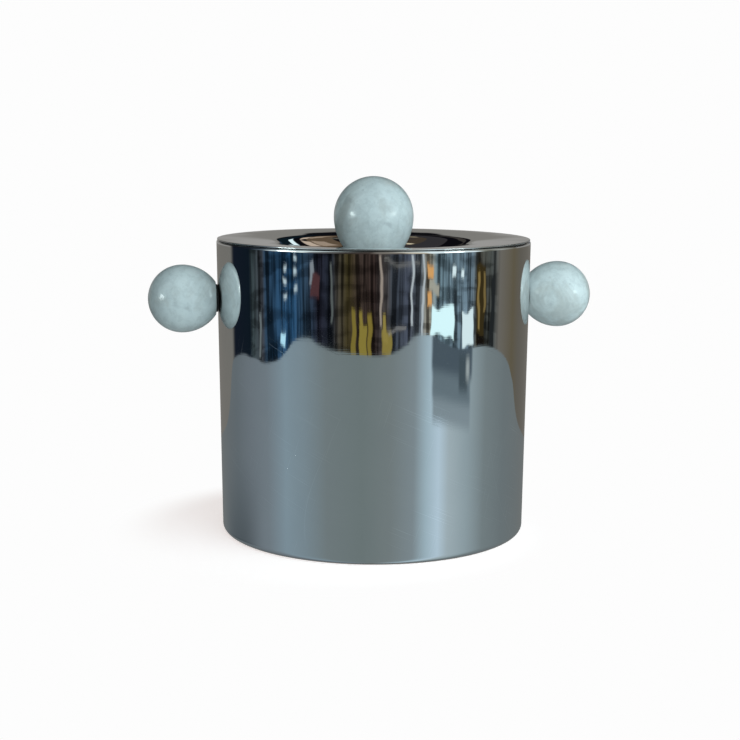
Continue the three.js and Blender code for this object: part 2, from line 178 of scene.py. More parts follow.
def arc(centre_radius, centre_height, radius, start, end, steps=ARC_STEPS):
    """Points (radius, height) along an arc, in degrees, 0 pointing outwards and 90 up."""
    points = []
    for i in range(steps + 1):
        angle = math.radians(start + (end - start) * i / steps)
        outwards, upwards = radius * math.cos(angle), radius * math.sin(angle)
        points.append((centre_radius + outwards, centre_height + upwards))
    return points


def turn_angle(before, corner, after):
    """How sharply an outline turns at a corner, in radians."""
    first = Vector(corner) - Vector(before)
    second = Vector(after) - Vector(corner)
    if first.length < NEGLIGIBLE or second.length < NEGLIGIBLE:
        return 0
    return first.angle(second)


def rounded_corner(before, corner, after):
    """Points along a small curve that takes the place of a corner."""
    middle = Vector(corner)
    back, ahead = Vector(before) - middle, Vector(after) - middle
    reach = min(EDGE_BREAK, EDGE_SHARE * back.length, EDGE_SHARE * ahead.length)
    start = middle + back.normalized() * reach
    end = middle + ahead.normalized() * reach
    points = []
    for step in range(EDGE_STEPS + 1):
        share = step / EDGE_STEPS
        rest = 1 - share
        point = start * rest**2 + middle * 2 * share * rest + end * share**2
        points.append((point.x, point.y))
    return points


def edges_broken(outline):
    """The closed outline with a small rounding on each sharp corner off the axis."""
    made = []
    count = len(outline)
    for i, corner in enumerate(outline):
        before, after = outline[i - 1], outline[(i + 1) % count]
        if corner[0] < NEGLIGIBLE or turn_angle(before, corner, after) < SHARP_ANGLE:
            made.append(corner)
        else:
            made += rounded_corner(before, corner, after)
    return made


def rows_added(outline):
    """The outline with a row close to each end of a long run, and more rows between.

    The close rows keep the shading of flat runs flat up to the roundings beside them.
    """
    made = []
    count = len(outline)
    for i, point in enumerate(outline):
        made.append(point)
        start, end = Vector(point), Vector(outline[(i + 1) % count])
        length = (end - start).length
        closes_on_axis = point[0] < NEGLIGIBLE and end.x < NEGLIGIBLE
        if length < 4 * ROW_HOLD or closes_on_axis:
            continue
        middle = length - 2 * ROW_HOLD
        parts = max(1, round(middle / ROW_SPACING))
        marks = [ROW_HOLD + middle * n / parts for n in range(parts)]
        marks.append(length - ROW_HOLD)
        for mark in marks:
            added = start.lerp(end, mark / length)
            made.append((added.x, added.y))
    return made


# ---- Meshes ----


def finished(name, bm):
    """An object in the scene from a bmesh in metres, smooth but for its sharp edges."""
    bmesh.ops.recalc_face_normals(bm, faces=bm.faces)
    mesh = bpy.data.meshes.new(name)
    bm.to_mesh(mesh)
    bm.free()
    mesh.shade_smooth()
    mesh.set_sharp_from_angle(angle=SHARP_ANGLE)
    made = bpy.data.objects.new(name, mesh)
    bpy.context.scene.collection.objects.link(made)
    return made


def turned_mesh(outline, segments, rounded=True):
    """A bmesh in millimetres: a closed outline of (radius, height) turned about Z."""
    if rounded:
        outline = edges_broken(outline)
    outline = rows_added(outline)
    bm = bmesh.new()
    columns = []
    for radius, height in outline:
        if radius < NEGLIGIBLE:
            columns.append([bm.verts.new((0, 0, height))] * segments)
            continue
        column = []
        for i in range(segments):
            angle = 2 * math.pi * i / segments
            place = (radius * math.cos(angle), radius * math.sin(angle), height)
            column.append(bm.verts.new(place))
        columns.append(column)
    for first, second in zip(columns, columns[1:] + columns[:1]):
        for i in range(segments):
            j = (i + 1) % segments
            corners = [first[i], first[j], second[j], second[i]]
            distinct = list(dict.fromkeys(corners))
            if len(distinct) > 2:
                bm.faces.new(distinct)
    return bm


def scaled(bm):
    bmesh.ops.scale(bm, vec=(MM, MM, MM), verts=bm.verts)
    return bm


def turned(name, outline, segments=ROUND_SEGMENTS):
    """A turned object about the bucket's own axis."""
    return finished(name, scaled(turned_mesh(outline, segments)))


def moved(bm, matrix):
    bmesh.ops.transform(bm, matrix=matrix, verts=bm.verts)
    return bm


def onto_handle(side):
    """Carries the Z axis to a handle's: towards +X for the right one, -X for the left one."""
    along_x = Matrix.Rotation(math.pi / 2, 4, "Y")
    turn = along_x if side == "right" else Matrix.Rotation(math.pi, 4, "Z") @ along_x
    return Matrix.Translation((0, 0, HANDLE_HEIGHT)) @ turn


def cut_away(target, cutter):
    """Cuts one object's shape out of another, and removes the cutter."""
    modifier = target.modifiers.new("cut", "BOOLEAN")
    modifier.operation = "DIFFERENCE"
    modifier.solver = "EXACT"
    modifier.object = cutter
    bpy.context.view_layer.update()
    evaluated = target.evaluated_get(bpy.context.evaluated_depsgraph_get())
    mesh = bpy.data.meshes.new_from_object(evaluated)
    target.modifiers.clear()
    old = target.data
    target.data = mesh
    bpy.data.meshes.remove(old)
    mesh.set_sharp_from_angle(angle=SHARP_ANGLE)
    spent = cutter.data
    bpy.data.objects.remove(cutter)
    bpy.data.meshes.remove(spent)


# ---- Node graphs ----


class Graph:
    """A node tree with short ways to add nodes and join them."""

    def __init__(self, tree):
        self.tree = tree
        tree.nodes.clear()

    def node(self, kind, **settings):
        made = self.tree.nodes.new(kind)
        for key, value in settings.items():
            setattr(made, key, value)
        return made

    def put(self, value, socket):
        """Joins a node's output to a socket, or sets the socket to a plain value."""
        if isinstance(value, bpy.types.NodeSocket):
            self.tree.links.new(value, socket)
        elif isinstance(value, (tuple, list)) and len(socket.default_value) == 4:
            socket.default_value = (*value[:3], 1)
        else:
            socket.default_value = value

    def math(self, operation, *values, clamp=False):
        made = self.node("ShaderNodeMath", operation=operation, use_clamp=clamp)
        for value, socket in zip(values, made.inputs):
            self.put(value, socket)
        return made.outputs[0]

    def times(self, first, second):
        return self.math("MULTIPLY", first, second)

    def less(self, value, clamp=False):
        """What is left of 1 when a value is taken from it."""
        return self.math("SUBTRACT", 1, value, clamp=clamp)

    def vector(self, operation, *values):
        made = self.node("ShaderNodeVectorMath", operation=operation)
        for value, socket in zip(values, made.inputs):
            self.put(value, socket)
        name = "Value" if operation in ("DOT_PRODUCT", "LENGTH") else "Vector"
        return made.outputs[name]

    def mix(self, share, first, second):
        made = self.node("ShaderNodeMix", data_type="RGBA")
        self.put(share, made.inputs["Factor"])
        self.put(first, made.inputs[6])
        self.put(second, made.inputs[7])
        return made.outputs[2]

    def ramp(self, value, stops):
        """Colours along a value from 0 to 1: stops are (place, colour)."""
        made = self.node("ShaderNodeValToRGB")
        ramp = made.color_ramp
        ramp.interpolation = "LINEAR"
        while len(ramp.elements) < len(stops):
            ramp.elements.new(0.5)
        for element, (place, colour) in zip(ramp.elements, stops):
            element.position = place
            element.color = (*colour, 1)
        self.put(value, made.inputs[0])
        return made.outputs[0]

    def curve(self, value, points):
        """A smooth curve through points (place, height), all from 0 to 1."""
        made = self.node("ShaderNodeFloatCurve")
        line = made.mapping.curves[0]
        while len(line.points) < len(points):
            line.points.new(0.5, 0.5)
        for point, place in zip(line.points, sorted(points)):
            point.location = place
        made.mapping.update()
        self.put(value, made.inputs["Value"])
        return made.outputs[0]

    def span(self, value, low, high, new_low=0, new_high=1, **settings):
        """A value in one range carried to another."""
        made = self.node("ShaderNodeMapRange", **settings)
        names = ("Value", "From Min", "From Max", "To Min", "To Max")
        for name, number in zip(names, (value, low, high, new_low, new_high)):
            self.put(number, made.inputs[name])
        return made.outputs[0]

    def ease(self, value, low, high):
        """0 below low and 1 above high, with a smooth step between."""
        return self.span(value, low, high, interpolation_type="SMOOTHSTEP")

    def band(self, value, low, high, soft):
        """1 between low and high, with soft edges."""
        rise = self.ease(value, low - soft, low + soft)
        fall = self.ease(value, high - soft, high + soft)
        return self.math("SUBTRACT", rise, fall, clamp=True)

    def stretched(self, vector, scale):
        return self.vector("MULTIPLY", vector, scale)

    def noise(self, vector, scale, detail=2, roughness=0.5, distortion=0):
        made = self.node("ShaderNodeTexNoise")
        self.put(vector, made.inputs["Vector"])
        made.inputs["Scale"].default_value = scale
        made.inputs["Detail"].default_value = detail
        made.inputs["Roughness"].default_value = roughness
        made.inputs["Distortion"].default_value = distortion
        return made.outputs[0]

    def cells(self, vector, scale, feature="F1"):
        made = self.node("ShaderNodeTexVoronoi", feature=feature)
        self.put(vector, made.inputs["Vector"])
        made.inputs["Scale"].default_value = scale
        return made.outputs["Distance"]

    def hairlines(self, vector, scale, width, detail=0.5, distortion=0.6):
        """Thin curved lines, where a smooth noise crosses its middle value."""
        field = self.noise(vector, scale, detail, 0.4, distortion)
        away = self.math("ABSOLUTE", self.math("SUBTRACT", field, 0.5))
        return self.less(self.ease(away, 0, width))

    def spots(self, vector, scale, inner, outer):
        """Round spots at the middles of some cells, with soft edges."""
        return self.less(self.ease(self.cells(vector, scale), inner, outer))

    def brightened(self, colour, factor):
        made = self.node("ShaderNodeVectorMath", operation="SCALE")
        self.put(colour, made.inputs[0])
        self.put(factor, made.inputs["Scale"])
        return made.outputs[0]

    def joined(self, x, y, z=0):
        made = self.node("ShaderNodeCombineXYZ")
        for value, socket in zip((x, y, z), made.inputs):
            self.put(value, socket)
        return made.outputs[0]

    def split(self, vector):
        made = self.node("ShaderNodeSeparateXYZ")
        self.put(vector, made.inputs[0])
        return made.outputs

    def total(self, *values):
        result = values[0]
        for value in values[1:]:
            result = self.math("ADD", result, value)
        return result

    def bump(self, height, strength, distance):
        made = self.node("ShaderNodeBump")
        made.inputs["Strength"].default_value = strength
        made.inputs["Distance"].default_value = distance
        self.put(height, made.inputs["Height"])
        return made.outputs["Normal"]


def new_material(name, metallic=0):
    """A material with an empty graph, its Principled shader and its object coordinates."""
    material = bpy.data.materials.new(name)
    material.use_nodes = True
    graph = Graph(material.node_tree)
    shader = graph.node("ShaderNodeBsdfPrincipled")
    shader.inputs["Metallic"].default_value = metallic
    output = graph.node("ShaderNodeOutputMaterial")
    graph.put(shader.outputs[0], output.inputs["Surface"])
    place = graph.node("ShaderNodeTexCoord").outputs["Object"]
    return material, graph, shader, place


def surface(graph, shader, colour, roughness, normal):
    """Joins a material's three patterns to its shader."""
    graph.put(colour, shader.inputs["Base Color"])
    graph.put(roughness, shader.inputs["Roughness"])
    graph.put(normal, shader.inputs["Normal"])


# ---- Materials ----

# Colours, as linear red, green and blue; a ground runs from its darker to its paler colour
POLISHED_GROUND = ((0.70, 0.715, 0.72), (0.78, 0.79, 0.785))
POLISHED_SPECK = (0.86, 0.88, 0.88)
POLISHED_MARK = (0.90, 0.91, 0.91)
SATIN_GROUND = ((0.50, 0.50, 0.495), (0.66, 0.66, 0.65))
SATIN_SCUFF = (0.74, 0.74, 0.73)
ZINC_GROUND = ((0.52, 0.54, 0.56), (0.72, 0.73, 0.72))
ZINC_SPANGLE = (0.60, 0.60, 0.55)
BRASS_GROUND = ((0.50, 0.33, 0.11), (0.76, 0.56, 0.24))
RUBBER_GROUND = ((0.012, 0.012, 0.014), (0.035, 0.035, 0.036))
FOAM_GROUND = ((0.80, 0.78, 0.70), (0.88, 0.87, 0.82))
FOAM_SEAM = (0.58, 0.55, 0.47)
STONE_GROUND = ((0.64, 0.69, 0.69), (0.78, 0.83, 0.82))
STONE_WARM = (0.46, 0.455, 0.42)
STONE_MOTTLE = (0.36, 0.39, 0.39)
STONE_VEIN = (0.43, 0.47, 0.48)
STONE_CLOUD = (0.31, 0.33, 0.34)
STONE_GRAIN = (0.42, 0.46, 0.46)
STONE_SPOT = (0.25, 0.27, 0.27)

# Scratches: slant in degrees, length in metres, and how rare they are
SCRATCHES = ((24, 0.035, 0.68), (-71, 0.03, 0.69))
SCRATCHES_PER_METRE = 2600
SCRATCH_EDGE = 0.06


def wrapped(graph, place):
    """Metres along a round wall from the bucket's front, up it, and out from the axis."""
    split = graph.split(place)
    turn = graph.math("ARCTAN2", split["X"], graph.times(split["Y"], -1))
    return graph.joined(graph.times(turn, RIM_RADIUS * MM), split["Z"], across(graph, place))


def across(graph, place):
    """Distance from the vertical axis."""
    return graph.vector("LENGTH", graph.stretched(place, (1, 1, 0)))


def scratches(graph, wall, slant, length, rarity):
    """Short fine straight scratches, all at about one slant, on a wrapped wall."""
    turned_place = graph.node("ShaderNodeVectorRotate", rotation_type="Z_AXIS")
    graph.put(wall, turned_place.inputs["Vector"])
    turned_place.inputs["Angle"].default_value = math.radians(slant)
    stretch = (1 / length, SCRATCHES_PER_METRE, 1 / length)
    drawn = graph.stretched(turned_place.outputs[0], stretch)
    return graph.ease(graph.noise(drawn, 1, 1), rarity, rarity + SCRATCH_EDGE)


def wear_marks(graph, place):
    """Straight scratches and faint curved ones, only in the worn patches."""
    wall = wrapped(graph, place)
    worn = graph.ease(graph.noise(place, 22, 2), 0.46, 0.62)
    straight = graph.math("MAXIMUM", *(scratches(graph, wall, *kind) for kind in SCRATCHES))
    curved = graph.hairlines(graph.stretched(wall, (1, 0.5, 1)), 11, 0.0012, 0, 0.2)
    return graph.math(
        "MAXIMUM",
        graph.times(graph.times(straight, 0.6), worn),
        graph.times(graph.times(curved, 0.45), worn),
    )


def polished_steel():
    """Mirror-polished stainless steel with wipe marks, fine scratches and slight waves."""
    material, graph, shader, place = new_material("polished_steel", metallic=1)
    rows = graph.noise(graph.stretched(place, (25, 25, 900)), 1, 3, 0.6)
    smears = graph.noise(place, 28, 4, 0.6, 0.8)
    marks = wear_marks(graph, place)
    specks = graph.spots(place, 420, 0.05, 0.09)
    specks = graph.times(specks, graph.ease(graph.noise(place, 90), 0.58, 0.66))
    tint = graph.mix(smears, *POLISHED_GROUND)
    tint = graph.mix(graph.times(specks, 0.35), tint, POLISHED_SPECK)
    tint = graph.mix(marks, tint, POLISHED_MARK)
    roughness = graph.total(
        graph.span(smears, 0.35, 0.75, 0.012, 0.032),
        graph.times(marks, 0.08),
        graph.times(specks, 0.06),
    )
    waves = graph.noise(graph.stretched(place, (1, 1, 0.12)), 34, 1)
    height = graph.total(waves, graph.times(rows, 0.0035), graph.times(marks, -0.004))
    surface(graph, shader, tint, roughness, graph.bump(height, 1, 0.00022))
    return material


def satin_steel():
    """Plain stainless steel with fine turned rings and scattered scuffs."""
    material, graph, shader, place = new_material("satin_steel", metallic=1)
    rings = graph.joined(across(graph, place), graph.split(place)["Z"])
    brushed = graph.noise(rings, 2200, 3, 0.7)
    cloud = graph.noise(place, 30, 3, 0.6)
    scuffs = graph.hairlines(place, 60, 0.008)
    shade = graph.mix(scuffs, graph.mix(brushed, *SATIN_GROUND), SATIN_SCUFF)
    roughness = graph.total(graph.span(cloud, 0.3, 0.7, 0.2, 0.3), graph.times(brushed, 0.08))
    surface(graph, shader, shade, roughness, graph.bump(brushed, 0.25, 0.0001))
    return material


def zinc_steel():
    """Bright zinc-plated steel with the faint spangle of the plating."""
    material, graph, shader, place = new_material("zinc_steel", metallic=1)
    spangle = graph.cells(place, 700)
    cloud = graph.noise(place, 240, 3, 0.6)
    shade = graph.mix(spangle, graph.mix(cloud, *ZINC_GROUND), ZINC_SPANGLE)
    roughness = graph.span(cloud, 0.3, 0.7, 0.28, 0.42)
    surface(graph, shader, shade, roughness, graph.bump(cloud, 0.3, 0.0001))
    return material


def brass():
    """Turned brass, slightly dulled."""
    material, graph, shader, place = new_material("brass", metallic=1)
    cloud = graph.noise(place, 260, 3, 0.6)
    shade = graph.mix(cloud, *BRASS_GROUND)
    roughness = graph.span(cloud, 0.3, 0.7, 0.25, 0.4)
    surface(graph, shader, shade, roughness, graph.bump(cloud, 0.3, 0.0001))
    return material


def marble():
    """Cool grey-white marble, honed: clouded ground, faint veins, specks and small pits."""
    material, graph, shader, place = new_material("marble")
    ground = graph.noise(place, 42, 5, 0.6, 0.5)
    mottle = graph.noise(place, 260, 4, 0.65, 0.3)
    grain = graph.noise(place, 1100, 3, 0.7)
    veins = graph.times(
        graph.hairlines(place, 38, 0.03, 3, 1.2),
        graph.ease(graph.noise(place, 30, 2), 0.5, 0.64),
    )
    clouds = graph.ease(graph.noise(place, 75, 3, 0.55, 0.4), 0.6, 0.74)
    warm = graph.ease(graph.noise(place, 46, 4, 0.6, 0.5), 0.46, 0.66)
    spots = graph.spots(place, 240, 0.08, 0.15)
    spots = graph.times(spots, graph.ease(graph.noise(place, 95), 0.56, 0.62))
    layers = (
        (warm, 0.60, STONE_WARM),
        (graph.ease(mottle, 0.44, 0.62), 0.22, STONE_MOTTLE),
        (veins, 0.12, STONE_VEIN),
        (clouds, 0.45, STONE_CLOUD),
        (grain, 0.24, STONE_GRAIN),
        (spots, 0.40, STONE_SPOT),
    )
    colour = graph.mix(graph.ease(ground, 0.3, 0.7), *STONE_GROUND)
    for share, strength, other in layers:
        colour = graph.mix(graph.times(share, strength), colour, other)
    roughness = graph.total(graph.span(mottle, 0.3, 0.7, 0.16, 0.2), graph.times(spots, 0.2))
    height = graph.total(
        graph.times(grain, 0.2),
        graph.times(mottle, 0.5),
        graph.times(spots, -0.8),
        graph.times(veins, -0.3),
    )
    surface(graph, shader, colour, roughness, graph.bump(height, 0.3, 0.0002))
    return material


def black_rubber():
    """Matt black rubber with a fine moulded grain and a little dust."""
    material, graph, shader, place = new_material("black_rubber")
    grain = graph.noise(place, 1400, 3, 0.7)
    dust = graph.ease(graph.noise(place, 160, 4, 0.7), 0.5, 0.8)
    shade = graph.mix(dust, *RUBBER_GROUND)
    roughness = graph.span(grain, 0.3, 0.7, 0.55, 0.75)
    surface(graph, shader, shade, roughness, graph.bump(grain, 0.4, 0.0002))
    return material


def foam():
    """Bead foam: pale cells with darker seams between them."""
    material, graph, shader, place = new_material("foam")
    beads = graph.cells(place, 330)
    seams = graph.ease(graph.cells(place, 330, "DISTANCE_TO_EDGE"), 0, 0.12)
    cloud = graph.noise(place, 60, 3)
    shade = graph.mix(seams, FOAM_SEAM, graph.mix(cloud, *FOAM_GROUND))
    roughness = graph.span(cloud, 0.3, 0.7, 0.85, 0.98)
    height = graph.math("SUBTRACT", seams, beads)
    surface(graph, shader, shade, roughness, graph.bump(height, 0.5, 0.0006))
    return material


POLISHED_STEEL = polished_steel()
SATIN_STEEL = satin_steel()
ZINC_STEEL = zinc_steel()
BRASS = brass()
MARBLE = marble()
BLACK_RUBBER = black_rubber()
FOAM = foam()


def dressed(made, material, body, *nodes):
    """Gives a new piece its material and its place in the assembly."""
    made.data.materials.clear()
    made.data.materials.append(material)
    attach(made, body)
    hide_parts(*nodes)
    return made


# ---- Body ----


def wall_radius(height):
    """Radius of the shell's outer face at a height on its straight wall."""
    low = BASE_CORNER_RADIUS
    high = BODY_HEIGHT - SHOULDER_RADIUS
    return BASE_RADIUS + (RIM_RADIUS - BASE_RADIUS) * (height - low) / (high - low)


def shell_outline(inset):
    """From the stand ring, round the base, up the wall and over the shoulder."""
    corner = BASE_CORNER_RADIUS
    shoulder = SHOULDER_RADIUS
    return [
        (STAND_RING_INNER, inset),
        *arc(BASE_RADIUS - corner, corner, corner - inset, -90, 0),
        *arc(RIM_RADIUS - shoulder, BODY_HEIGHT - shoulder, shoulder - inset, 0, 90),
        (RIM_SEAM_RADIUS, BODY_HEIGHT - inset),
    ]


def well_outline(inset):
    """The well's inner face at inset 0, from the rim seam down to the floor's centre."""
    lip = WELL_LIP_RADIUS
    corner = WELL_CORNER_RADIUS
    corner_height = WELL_FLOOR_HEIGHT + corner
    return [
        (RIM_SEAM_RADIUS - CLEARANCE, BODY_HEIGHT - inset),
        *arc(WELL_MOUTH_RADIUS + lip, BODY_HEIGHT - lip, lip - inset, 90, 180),
        *arc(WELL_FLOOR_RADIUS - corner, corner_height, corner + inset, 0, -90, FINE_STEPS),
        (0, WELL_FLOOR_HEIGHT - inset),
    ]


def pressed(outline, thickness):
    """A sheet's closed outline: its face and the same face one thickness in."""
    return [*outline(0), *reversed(outline(thickness))]


def outer_shell():
    shell = turned("shell_polished", pressed(shell_outline, SHEET))
    radius, reach = HANDLE_SHANK + CLEARANCE, RIM_RADIUS + 1
    hole_outline = [(0, -reach), (radius, -reach), (radius, reach), (0, reach)]
    hole = turned_mesh(hole_outline, SMALL_SEGMENTS, rounded=False)
    moved(hole, onto_handle("right"))
    cut_away(shell, finished("screw_hole", scaled(hole)))
    dressed(shell, POLISHED_STEEL, "bucket", "outer_shell")


def inner_liner():
    liner = turned("well_liner", pressed(well_outline, SHEET))
    dressed(liner, SATIN_STEEL, "bucket", "inner_liner")


def base_plate():
    flange = SHEET + CLEARANCE
    centre = flange + BASE_PLATE_STEP_HEIGHT

    def face(lift):
        return [
            (0, centre + lift),
            (BASE_PLATE_STEP_INNER, centre + lift),
            (BASE_PLATE_STEP_OUTER, flange + lift),
            (BASE_PLATE_RADIUS, flange + lift),
        ]

    plate = turned("base_plate_pressed", pressed(face, SHEET))
    dressed(plate, SATIN_STEEL, "bucket", "base_plate")


# ---- Lid ----


def lid_face(inset):
    """The lid's upper face: knob hole, dish floor, bowl, roll and curved flange."""
    slope = math.degrees(DISH_SLOPE)
    inner = math.degrees(FLANGE_SLOPE)
    height = DISH_FLOOR + BOWL_RADIUS
    bowl = arc(DISH_FLOOR_RADIUS, height, BOWL_RADIUS + inset, -90, -90 + slope, BOWL_STEPS)
    radius = DISH_ROLL_RADIUS - inset
    roll = arc(ROLL_RADIUS, ROLL_HEIGHT, radius, 90 + slope, 90 + inner, FINE_STEPS)
    height, radius = LID_TOP - FLANGE_CURVE_RADIUS, FLANGE_CURVE_RADIUS - inset
    flange = arc(FLANGE_START, height, radius, 90 + inner, 90, FINE_STEPS)
    return [(KNOB_SHANK + CLEARANCE, DISH_FLOOR - inset), *bowl, *roll[1:], *flange[1:]]


def lid_top():
    half = LID_SHEET / 2
    lip = arc(FLANGE_START, LID_TOP - half, half, 90, -90)
    outline = [*lid_face(0), *lip[1:-1], *reversed(lid_face(LID_SHEET))]
    lid = turned("lid_polished", outline)
    dressed(lid, POLISHED_STEEL, "lid", "lid_top")


def pan_outline(inset):
    """The pan's outer face: floor, corner, skirt, fillet and the flange under the lid."""
    corner = PAN_CORNER_RADIUS
    fillet = PAN_FILLET_RADIUS
    fillet_height = PAN_FLANGE_UNDERSIDE - fillet
    return [
        (KNOB_SHANK + CLEARANCE, PAN_BOTTOM + inset),
        *arc(PAN_RADIUS - corner, PAN_BOTTOM + corner, corner - inset, -90, 0),
        *arc(PAN_RADIUS + fillet, fillet_height, fillet + inset, 180, 90, FILLET_STEPS),
        (PAN_FLANGE_RADIUS, PAN_FLANGE_UNDERSIDE + inset),
    ]


def lid_pan():
    pan = turned("lid_pan_pressed", pressed(pan_outline, LID_PAN_SHEET))
    dressed(pan, SATIN_STEEL, "lid", "lid_pan")


# ---- Balls and collars ----


def flat_drop(ball_radius, flat_radius, curve):
    """How far a ball's ground flat is from its centre, where its lower half has its own curve."""
    return math.sqrt(curve**2 - (flat_radius + curve - ball_radius) ** 2)


def ball_outline(radius, flat_radius, curve, insert_radius, insert_length):
    """A ball with a flat below and a blind hole for its insert."""
    flat = -flat_drop(radius, flat_radius, curve)
    hole = insert_radius + CLEARANCE
    hole_end = flat + insert_length + INSERT_HOLE_MARGIN
    start = math.degrees(math.asin(flat / curve))
    lower = arc(radius - curve, 0, curve, start, 0, BALL_STEPS)
    upper = arc(0, 0, radius, 0, 90, BALL_STEPS)[1:-1]
    return [(0, hole_end), (hole, hole_end), (hole, flat), *lower, *upper, (0, radius)]


def knob_ball():
    curves = (KNOB_BALL_RADIUS, KNOB_FLAT_RADIUS, KNOB_NECK_CURVE)
    outline = ball_outline(*curves, KNOB_INSERT_RADIUS, KNOB_INSERT_LENGTH)
    bm = turned_mesh(outline, BALL_SEGMENTS)
    moved(bm, Matrix.Translation((0, 0, KNOB_HEIGHT)))
    ball = finished("knob_stone", scaled(bm))
    dressed(ball, MARBLE, "lid", "knob_ball")


def handle_ball(side):
    curves = (HANDLE_BALL_RADIUS, HANDLE_FLAT_RADIUS, HANDLE_NECK_CURVE)
    outline = ball_outline(*curves, HANDLE_INSERT_RADIUS, HANDLE_INSERT_LENGTH)
    bm = turned_mesh(outline, BALL_SEGMENTS)
    moved(bm, Matrix.Translation((0, 0, HANDLE_BALL_DISTANCE)))
    moved(bm, onto_handle(side))
    ball = finished(f"{side}_handle_stone", scaled(bm))
    dressed(ball, MARBLE, "bucket", f"{side}_handle_ball")


def collar_outline(bore, radius, start, end):
    return [(bore, start), (radius, start), (radius, end), (bore, end)]


def knob_collar():
    outline = collar_outline(
        KNOB_SHANK + CLEARANCE, KNOB_COLLAR_RADIUS, DISH_FLOOR + CLEARANCE, KNOB_FLAT - CLEARANCE
    )
    collar = turned("knob_collar_moulded", outline, SMALL_SEGMENTS)
    dressed(collar, BLACK_RUBBER, "lid", "knob_collar")


def handle_collar(side):
    """A short rubber tube whose inner end is shaped to the round wall."""
    drop = flat_drop(HANDLE_BALL_RADIUS, HANDLE_FLAT_RADIUS, HANDLE_NECK_CURVE)
    ball_flat = HANDLE_BALL_DISTANCE - drop
    wall = wall_radius(HANDLE_HEIGHT) + CLEARANCE
    outline = collar_outline(
        HANDLE_SHANK + CLEARANCE, HANDLE_COLLAR_RADIUS, wall, ball_flat - CLEARANCE
    )
    bm = turned_mesh(outline, SMALL_SEGMENTS)
    length = ball_flat - CLEARANCE - wall
    for vertex in bm.verts:
        sag = wall - math.sqrt(wall**2 - vertex.co.y**2)
        vertex.co.z -= sag * (1 - (vertex.co.z - wall) / length)
    moved(bm, onto_handle(side))
    collar = finished(f"{side}_handle_collar_moulded", scaled(bm))
    dressed(collar, BLACK_RUBBER, "bucket", f"{side}_handle_collar")


# ---- The knob's fixing, seen under a lifted lid ----


def knob_washer():
    outline = collar_outline(
        KNOB_SHANK + CLEARANCE, KNOB_WASHER_RADIUS, KNOB_WASHER_START, KNOB_WASHER_END
    )
    washer = turned("knob_washer_fine", outline, SMALL_SEGMENTS)
    dressed(washer, ZINC_STEEL, "lid", "knob_washer")


def knob_lock_washer():
    """A ring split at one side, its square section swept round between the two ends."""
    bore = KNOB_SHANK + CLEARANCE
    section = edges_broken(
        collar_outline(bore, KNOB_LOCK_WASHER_RADIUS, KNOB_LOCK_START, KNOB_LOCK_END)
    )
    bm = bmesh.new()
    rows = []
    for i in range(SMALL_SEGMENTS + 1):
        share = i / SMALL_SEGMENTS
        angle = KNOB_LOCK_HALF_GAP + share * 2 * (math.pi - KNOB_LOCK_HALF_GAP)
        around = (math.cos(angle), math.sin(angle))
        rows.append([bm.verts.new((r * around[0], r * around[1], z)) for r, z in section])
    for first, second in zip(rows, rows[1:]):
        for i in range(len(section)):
            bm.faces.new([first[i - 1], first[i], second[i], second[i - 1]])
    bm.faces.new(rows[0])
    bm.faces.new(rows[-1])
    washer = finished("knob_lock_washer_fine", scaled(bm))
    dressed(washer, ZINC_STEEL, "lid", "knob_lock_washer")


def knob_screw():
    """A pan head with a hexagonal socket, on a plain shank."""
    base = KNOB_HEAD_FACE - KNOB_HEAD_HEIGHT
    crown = KNOB_HEAD_HEIGHT / 2
    outline = [
        (0, base),
        *arc(KNOB_HEAD_RADIUS - crown, base + crown, crown, -90, 0),
        (KNOB_HEAD_RADIUS, KNOB_HEAD_FACE),
        (KNOB_SHANK, KNOB_HEAD_FACE),
        (KNOB_SHANK, KNOB_SCREW_END - KNOB_SCREW_TIP_LENGTH),
        (KNOB_SCREW_TIP_RADIUS, KNOB_SCREW_END),
        (0, KNOB_SCREW_END),
    ]
    screw = turned("knob_screw_fine", outline, SMALL_SEGMENTS)
    socket_end = base + KNOB_SOCKET_DEPTH
    socket_outline = [(0, base - 1), (KNOB_SOCKET_RADIUS, base - 1)]
    socket_outline += [(KNOB_SOCKET_RADIUS, socket_end), (0, socket_end)]
    socket = turned_mesh(socket_outline, SOCKET_SIDES, rounded=False)
    cut_away(screw, finished("socket", scaled(socket)))
    dressed(screw, ZINC_STEEL, "lid", "knob_screw")


# ---- The carried-over CAD pieces ----

CARRIED_OVER = {
    "insulation_sleeve": FOAM,
    "insulation_disc": FOAM,
    "lid_insulation": FOAM,
    "lid_spacer_tube": ZINC_STEEL,
    "knob_insert": BRASS,
}
for side in ("right", "left"):
    CARRIED_OVER[f"{side}_handle_insert"] = BRASS
    for hidden in ("backing_plate", "lock_washer", "screw"):
        CARRIED_OVER[f"{side}_handle_{hidden}"] = ZINC_STEEL


def dress_carried_over():
    """Gives the hidden CAD pieces that stay as they are a material each."""
    for name, material in CARRIED_OVER.items():
        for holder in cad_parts[name].material_slots:
            holder.material = material


# ---- Room, floor and camera ----

# What the polished steel mirrors. Azimuths are in degrees from the camera's side, positive
# to its right, and elevations are in degrees above the horizon. A pair of angles says where
# a smooth step between two zones starts and ends, and a blur is half such a step's width.

